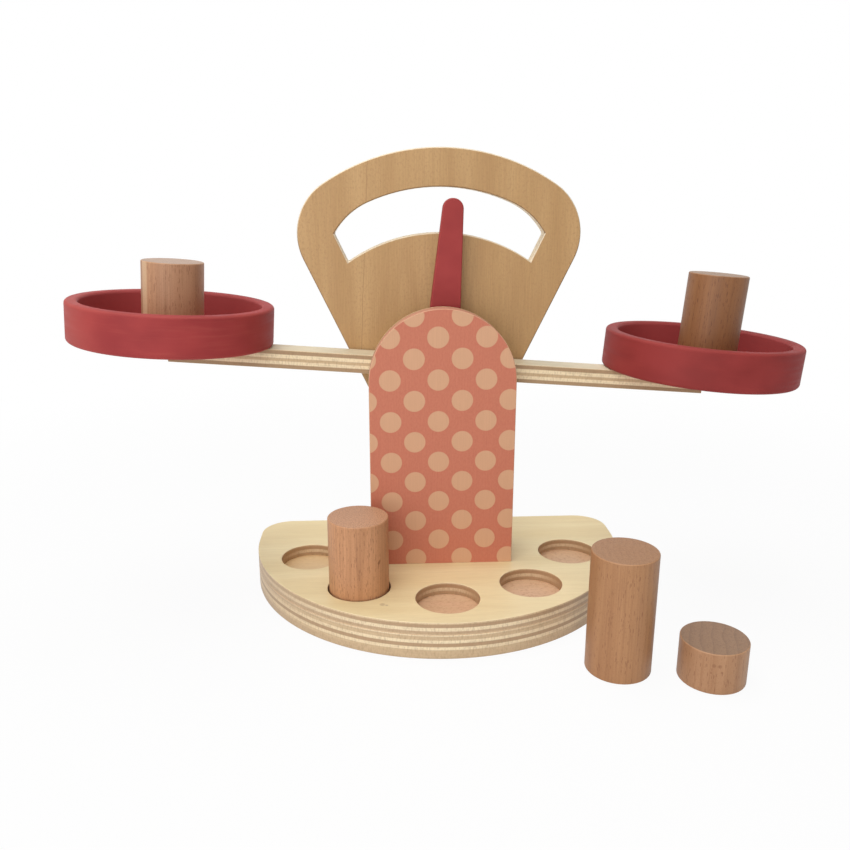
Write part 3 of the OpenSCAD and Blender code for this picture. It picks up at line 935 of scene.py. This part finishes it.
beamDark = rgb(172, 142, 108)
beamLooks = {
    "bands": 70.0, "stretch": 16.0, "lines": 0.10, "fibre": 0.06, "mottle": 0.12,
    "light": rgb(240, 229, 200), "dark": rgb(230, 216, 183), "line": rgb(206, 186, 148),
    "front": [(0.5, tanPly), (2.7, beamDark), (5.0, creamPly), (6.9, bandPly), (9.0, creamPly),
              (11.5, beamDark)],
    "side": [(2.5, creamPly), (4.7, brownPly), (7.3, creamPly), (9.1, brownPly), (11.5, creamPly)],
    "fleck": rgb(206, 186, 148), "pore": rgb(150, 120, 86), "pores": 0.40, "drift": 0.3, "wander": 0.0005,
    # eased and under: the rim's painted highlight facing up and its painted shade facing down
    "wear": 0.3, "eased": rgb(244, 230, 198), "under": rgb(190, 160, 124),
    "roughness": 0.55, "gloss": 0.4}
beamPlace = onBeam @ Matrix.Translation((0, 0, -sheetThickness / 2))
beamWood = plywood("beamPlywood", beamPlace, sheetThickness, beamLooks)
easedCopy("beam", "beamBar", beamWood, ease=0.0004, shortest=0.3)
print("beam eased")


# red pieces: pointer and pans

redPaint = {
    "red": rgb(162, 60, 59), "deep": rgb(148, 52, 53),
    "faded": rgb(178, 86, 78), "streaks": 420.0, "streakRange": (0.45, 0.8, 0.0, 0.30),
    "wear": 0.35, "patchiness": 0.5, "patches": [], "paintedHighlightShare": 0.5,
    # inner and inside: a lighter red on the pans' inner faces, painted light
    "inner": 0.0, "innerRim": 0.001, "inside": rgb(170, 76, 75), "insidePaintedLightShare": 0.0,
    "roughness": 0.6, "roughening": (0.3, 0.7, -0.06, 0.08), "poreHeight": 0.7, "relief": 0.00012,
    "gloss": 0.3}


def paintedRed(name, place, looks):
    material, tree = newMaterial(name)
    position, normal = ownFrame(tree, place)
    paint = useGroup(tree, soakedPaint, {"Position": position, "Streaks": looks["streaks"]})
    wear = wornEdges(tree, position, normal, looks["axis"], looks["patchiness"])
    colour = blend(tree, paint["Clouds"], middle, looks["deep"], looks["red"])
    colour = blend(tree, paint["Streaks"], looks["streakRange"], colour, looks["faded"])
    colour = mixed(tree, times(tree, wear, looks["wear"]), colour, looks["faded"])
    # patches of the faded colour: a painted highlight
    colour = spotted(tree, colour, looks["patches"], looks["faded"], looks["paintedHighlightShare"])
    # the pans' inner faces turn lighter red: painted light
    outer = looks["inner"] + looks["innerRim"]
    inside = ranged(tree, fromAxis(tree, position), looks["inner"], outer, looks["insidePaintedLightShare"], 0.0)
    colour = mixed(tree, inside, colour, looks["inside"])
    height = calc(tree, "ADD", times(tree, paint["Pores"], looks["poreHeight"]), paint["Streaks"])
    finishSurface(tree, looks, colour, paint["Streaks"], height)
    return material


# the pointer is worn between its flat faces, which look along y, and its sides
pointerLooks = redPaint | {
    "axis": (0.0, 1.0, 0.0), "red": rgb(160, 57, 55), "deep": rgb(146, 47, 47), "streaks": 12.0}
pointerRed = paintedRed("pointerRed", onBeam, pointerLooks)
easedCopy("pointer", "pointerBlade", pointerRed, ease=0.0008, shortest=0.1)

pan = {
    "Radius": 0.0605, "Height": 0.024, "Wall": 0.0075, "Floor": 0.006, "Edge": 0.002, "Corner": 0.003,
    "Segments": 180}
panReach = 0.165
panLooks = redPaint | {"axis": upward, "inner": pan["Radius"] - pan["Wall"], "gloss": 0.2}
# the left pan has a painted highlight patch on its left end and a lighter inside, painted light
leftLooks = panLooks | {"patches": [((-0.222, 0.0, 0.168), 0.055)], "insidePaintedLightShare": 1.0}
# the right pan's red is darker than the left pan's, painted shade, and its inside lighter, painted light
rightLooks = panLooks | {
    "red": rgb(146, 53, 51), "deep": rgb(133, 46, 44), "faded": rgb(158, 66, 60), "insidePaintedLightShare": 0.85}
for side, node, name, looks in ((-1, "left_pan", "leftPan", leftLooks),
                                (1, "right_pan", "rightPan", rightLooks)):
    place = onBeam @ Matrix.Translation((side * panReach, 0, sheetThickness / 2))
    material = paintedRed(name + "Red", place, looks)
    standFor(evenShading(grow(name, panTree, pan, place, material)), node)
print("pointer and pans painted")


# weights

beech = {
    "light": rgb(182, 135, 96), "dark": rgb(170, 123, 85),
    "ring": rgb(144, 98, 65), "rings": 0.22, "fibreRange": (0.45, 0.75, 0.0, 0.45),
    "fleck": rgb(128, 82, 56), "flecks": 0.5, "speckle": (0.5, 0.75, 0.0, 0.3),
    # pale: the colour of the painted highlight bands
    "spots": [], "spotShare": 0.65, "paintedHighlightStripes": [], "paintedHighlightEdge": 0.0002, "pale": rgb(224, 190, 150),
    "end": rgb(172, 132, 99), "endRing": rgb(140, 100, 74), "endRings": 0.20,
    "endSpeckle": (0.42, 0.72, 0.0, 0.75), "eased": rgb(200, 158, 122), "wear": 0.28, "patchiness": 0.35,
    "roughness": 0.46, "roughening": (0.2, 0.8, 0.06, -0.06), "fleckDepth": 0.5, "relief": 0.00015,
    "gloss": 0.35}
weightShape = {"Radius": 0.018, "Edge": 0.0008, "Segments": 128}
weights = {
    "smallest_weight": {
        "height": 0.0235, "pith": (0.15, -0.03, 0.0), "ringWidth": 0.0058, "turn": -0.15,
        "light": rgb(184, 140, 104), "dark": rgb(172, 128, 93), "end": rgb(154, 123, 97),
        "endRing": rgb(126, 99, 78), "endRings": 0.5, "spotShare": 0.45,
        "spots": [((0.1319, -0.1182, 0.0169), 0.0014), ((0.1347, -0.1190, 0.0168), 0.0014),
                  ((0.1309, -0.1177, 0.0126), 0.0008), ((0.1360, -0.1192, 0.0134), 0.0008)]},
    "second_weight": {
        "height": 0.0425, "pith": (0.04, 0.05, 0.0), "ringWidth": 0.0026, "turn": 1.4,
        "light": rgb(197, 151, 115), "dark": rgb(183, 138, 104), "end": rgb(181, 152, 130),
        # a painted highlight down its left side
        "paintedHighlightStripes": [(-2.41, 0.0177, 0.75)]},
    "middle_weight": {
        "height": 0.053, "pith": (-0.05, 0.06, 0.0), "ringWidth": 0.0024, "turn": 2.5,
        "light": rgb(203, 149, 108), "dark": rgb(189, 136, 96), "end": rgb(201, 154, 119),
        "spots": [((-0.0402, -0.0433, 0.0439), 0.0013), ((-0.0397, -0.0428, 0.0448), 0.0009)]},
    # darker beech than the other weights: partly its own tone, partly painted shade
    "fourth_weight": {
        "height": 0.057, "pith": (0.06, -0.03, 0.0), "ringWidth": 0.0030, "turn": 3.9,
        "light": rgb(151, 104, 67), "dark": rgb(136, 91, 55), "ring": rgb(116, 73, 44),
        "end": rgb(146, 116, 89), "fleck": rgb(106, 64, 40), "flecks": 0.7},
    "tallest_weight": {
        "height": 0.0695, "pith": (0.05, 0.06, 0.0), "ringWidth": 0.0032, "turn": 5.2,
        "light": rgb(177, 130, 90), "dark": rgb(164, 117, 79)}}


# the round side: rings and fibres, flecks, a pale band painted on as a highlight and spots
def beechSide(tree, looks, position, figure):
    side = blend(tree, figure["Tone"], middle, looks["dark"], looks["light"])
    side = mixed(tree, times(tree, figure["Rings"], looks["rings"]), side, looks["ring"])
    side = blend(tree, figure["Fibre"], looks["fibreRange"], side, looks["ring"])
    side = mixed(tree, times(tree, figure["Flecks"], looks["flecks"]), side, looks["fleck"])
    # a pale band down one side of the weight: a painted highlight
    for angle, reach, strength in looks["paintedHighlightStripes"]:
        own = angle - looks["turn"]
        toward = (math.cos(own), math.sin(own), 0.0)
        off = vectorCalc(tree, "DOT_PRODUCT", position, toward)
        stripe = ranged(tree, off, reach, reach + looks["paintedHighlightEdge"], 0.0, strength)
        side = mixed(tree, stripe, side, looks["pale"])
    side = blend(tree, figure["Speckle"], looks["speckle"], side, looks["fleck"])
    return spotted(tree, side, looks["spots"], looks["fleck"], looks["spotShare"])


# the sawn ends: rings and speckle
def beechEnds(tree, looks, figure):
    end = mixed(tree, times(tree, figure["Rings"], looks["endRings"]), looks["end"], looks["endRing"])
    return blend(tree, figure["Speckle"], looks["endSpeckle"], end, looks["endRing"])


def beechWood(name, place, looks):
    material, tree = newMaterial(name)
    position, normal = ownFrame(tree, place @ Matrix.Rotation(looks["turn"], 4, "Z"))
    figure = useGroup(tree, beechFigure, {
        "Position": position, "Normal": normal, "Pith": looks["pith"], "Ring": looks["ringWidth"]})
    wear = wornEdges(tree, position, normal, upward, looks["patchiness"])
    side = beechSide(tree, looks, position, figure)
    colour = mixed(tree, figure["Ends"], side, beechEnds(tree, looks, figure))
    colour = mixed(tree, times(tree, wear, looks["wear"]), colour, looks["eased"])
    height = minus(tree, figure["Fibre"], times(tree, figure["Flecks"], looks["fleckDepth"]))
    finishSurface(tree, looks, colour, figure["Fibre"], height)
    return material


for node, weight in weights.items():
    low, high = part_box(node)
    up = Vector(joints[node + "_lift"]["axis"]).normalized()
    foot = (low + high) / 2 - up * weight["height"] / 2
    place = Matrix.Translation(foot) @ Matrix.Rotation(math.atan2(up.x, up.z), 4, "Y")
    name = node.replace("_weight", "Weight")
    material = beechWood(name + "Beech", place, beech | weight)
    sizes = weightShape | {"Height": weight["height"]}
    standFor(evenShading(grow(name, weightTree, sizes, place, material)), node)
print("five weights turned")


# metal and nylon

steelLooks = {
    "clouds": ((60.0, 60.0, 60.0), 3.0),
    "roughening": (0.25, 0.75, -0.08, 0.12), "relief": 0.00006, "metal": 1.0}
zincLooks = steelLooks | {
    "bright": rgb(200, 202, 206), "dull": rgb(176, 178, 180), "roughness": 0.36,
    "brush": ((500.0, 500.0, 500.0), 3.0, 0.6)}
turnedLooks = steelLooks | {
    "bright": rgb(186, 188, 192), "dull": rgb(160, 162, 166), "roughness": 0.42,
    "brush": ((200.0, 2600.0, 200.0), 3.0, 0.6)}
nylonLooks = {
    "light": rgb(232, 229, 218), "dark": rgb(222, 218, 204),
    "grains": ((900.0, 900.0, 900.0), 3.0), "depth": 0.1,
    "roughness": 0.44, "roughening": (0.3, 0.7, -0.06, 0.06), "relief": 0.00008}


def brushedSteel(name, looks):
    material, tree = newMaterial(name)
    brushed = noise(tree, seen(tree), *looks["brush"])
    clouds = noise(tree, seen(tree), *looks["clouds"])
    colour = blend(tree, clouds, middle, looks["dull"], looks["bright"])
    finishSurface(tree, looks, colour, brushed, brushed)
    return material


def paleNylon(name, looks):
    material, tree = newMaterial(name)
    grains = noise(tree, seen(tree), *looks["grains"])
    colour = blend(tree, grains, middle, looks["light"], looks["dark"])
    finishSurface(tree, looks, colour, grains, grains)
    return material


zinc = brushedSteel("zincSteel", zincLooks)
turnedSteel = brushedSteel("turnedSteel", turnedLooks)
nylon = paleNylon("nylon", nylonLooks)
for node, material in (("pivot_pin", zinc), ("counterweight_pin", zinc), ("counterweight", turnedSteel),
                       ("front_washer", nylon), ("rear_washer", nylon)):
    giveMaterial(nodes[node], material)

headSink = 0.0005
baseScrews = {
    "Shank radius": 0.002, "Head radius": 0.004, "Length": 0.042, "Tip": 0.002, "Cross width": 0.001,
    "Pitch": 0.0022, "Thread": 0.0005, "First step": (0.056, 0.0, 0.0), "Second step": (0.0, 0.0317, 0.0)}
panScrews = {
    "Shank radius": 0.00175, "Head radius": 0.0035, "Length": 0.015, "Tip": 0.002, "Cross width": 0.001,
    "Pitch": 0.0018, "Thread": 0.0004, "First step": (0.274, 0.0, 0.0), "Second step": (0.030, 0.0, 0.0)}
underBase = Matrix.Translation((0, pivot.y, headSink))
underBeam = onBeam @ Matrix.Translation((0, 0, headSink - sheetThickness / 2))
for node, name, screws, place in (("base_screws", "baseScrews", baseScrews, underBase),
                                  ("pan_screws", "panScrews", panScrews, underBeam)):
    standFor(grow(name, screwTree, screws, place, zinc), node)
print("steel, nylon and screws done")


# stage: a pale floor that keeps a faint shadow, soft light and the camera

white = (1.0, 1.0, 1.0, 1.0)
stage = {
    "floorSize": 12.0, "floorColour": (0.82, 0.82, 0.82, 1.0), "glowPlaces": (0.30, 0.75),
    "glowShares": (0.93, 1.0), "fill": 0.27, "target": (0.0, 0.0, 0.14)}
lamps = {
    "key": {"power": 13.1, "size": 1.4, "place": (-0.52, -1.13, 0.62)},
    "top": {"power": 24.5, "size": 1.6, "place": (-0.3, 0.2, 2.0)}}
camera = {
    "place": (-0.03796, -0.48299, 0.25045), "lens": 34.73, "sensor": 36.0, "nearest": 0.02,
    "down": 0.273, "right": 0.0556, "roll": -0.001}


# 1 where the camera looks straight or by a mirror or glass, 0 for light that spreads
def seenDirectly(tree):
    path = put(tree, "ShaderNodeLightPath").outputs
    shiny = calc(tree, "MAXIMUM", path["Is Glossy Ray"], path["Is Transmission Ray"])
    return calc(tree, "MAXIMUM", path["Is Camera Ray"], shiny)


def makeFloor():
    half = stage["floorSize"] / 2
    corners = [(-half, -half, 0), (half, -half, 0), (half, half, 0), (-half, half, 0)]
    mesh = bpy.data.meshes.new("floor")
    mesh.from_pydata(corners, [], [(0, 1, 2, 3)])
    floor = addObject("floor", mesh)
    material, tree = newMaterial("paleFloor")
    glow = add(tree, "ShaderNodeEmission", {"Color": white, "Strength": 1.0})
    plain = add(tree, "ShaderNodeBsdfDiffuse", {"Color": stage["floorColour"]})
    reach = vectorCalc(tree, "LENGTH", seen(tree))
    share = times(tree, seenDirectly(tree), ranged(tree, reach, *stage["glowPlaces"], *stage["glowShares"]))
    shader = add(tree, "ShaderNodeMixShader", {0: share, 1: plain, 2: glow})
    put(tree, "ShaderNodeOutputMaterial", {"Surface": shader})
    giveMaterial(floor, material)
    floor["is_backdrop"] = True


def makeWorld():
    world = bpy.data.worlds.new("studio")
    world.use_nodes = True
    tree = world.node_tree
    tree.nodes.clear()
    strength = calc(tree, "MAXIMUM", seenDirectly(tree), stage["fill"])
    light = add(tree, "ShaderNodeBackground", {"Color": white, "Strength": strength})
    put(tree, "ShaderNodeOutputWorld", {"Surface": light})
    scene.world = world


def makeLamp(name, looks):
    light = bpy.data.lights.new(name, "AREA")
    light.energy = looks["power"]
    light.size = looks["size"]
    lamp = addObject(name, light)
    lamp.location = looks["place"]
    toward = Vector(stage["target"]) - Vector(looks["place"])
    lamp.rotation_euler = toward.to_track_quat("-Z", "Y").to_euler()


def makeCamera():
    lens = bpy.data.cameras.new("camera")
    lens.sensor_width = camera["sensor"]
    lens.lens = camera["lens"]
    lens.clip_start = camera["nearest"]
    eye = addObject("camera", lens)
    eye.location = camera["place"]
    eye.rotation_euler = (math.pi / 2 - camera["down"], camera["roll"], -camera["right"])
    scene.camera = eye


makeFloor()
makeWorld()
for name, looks in lamps.items():
    makeLamp(name, looks)
makeCamera()
scene.view_settings.view_transform = "Standard"
print("stage, lamps and camera set")

[[list(corner) for corner in box] for box in (cadBox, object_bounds())]
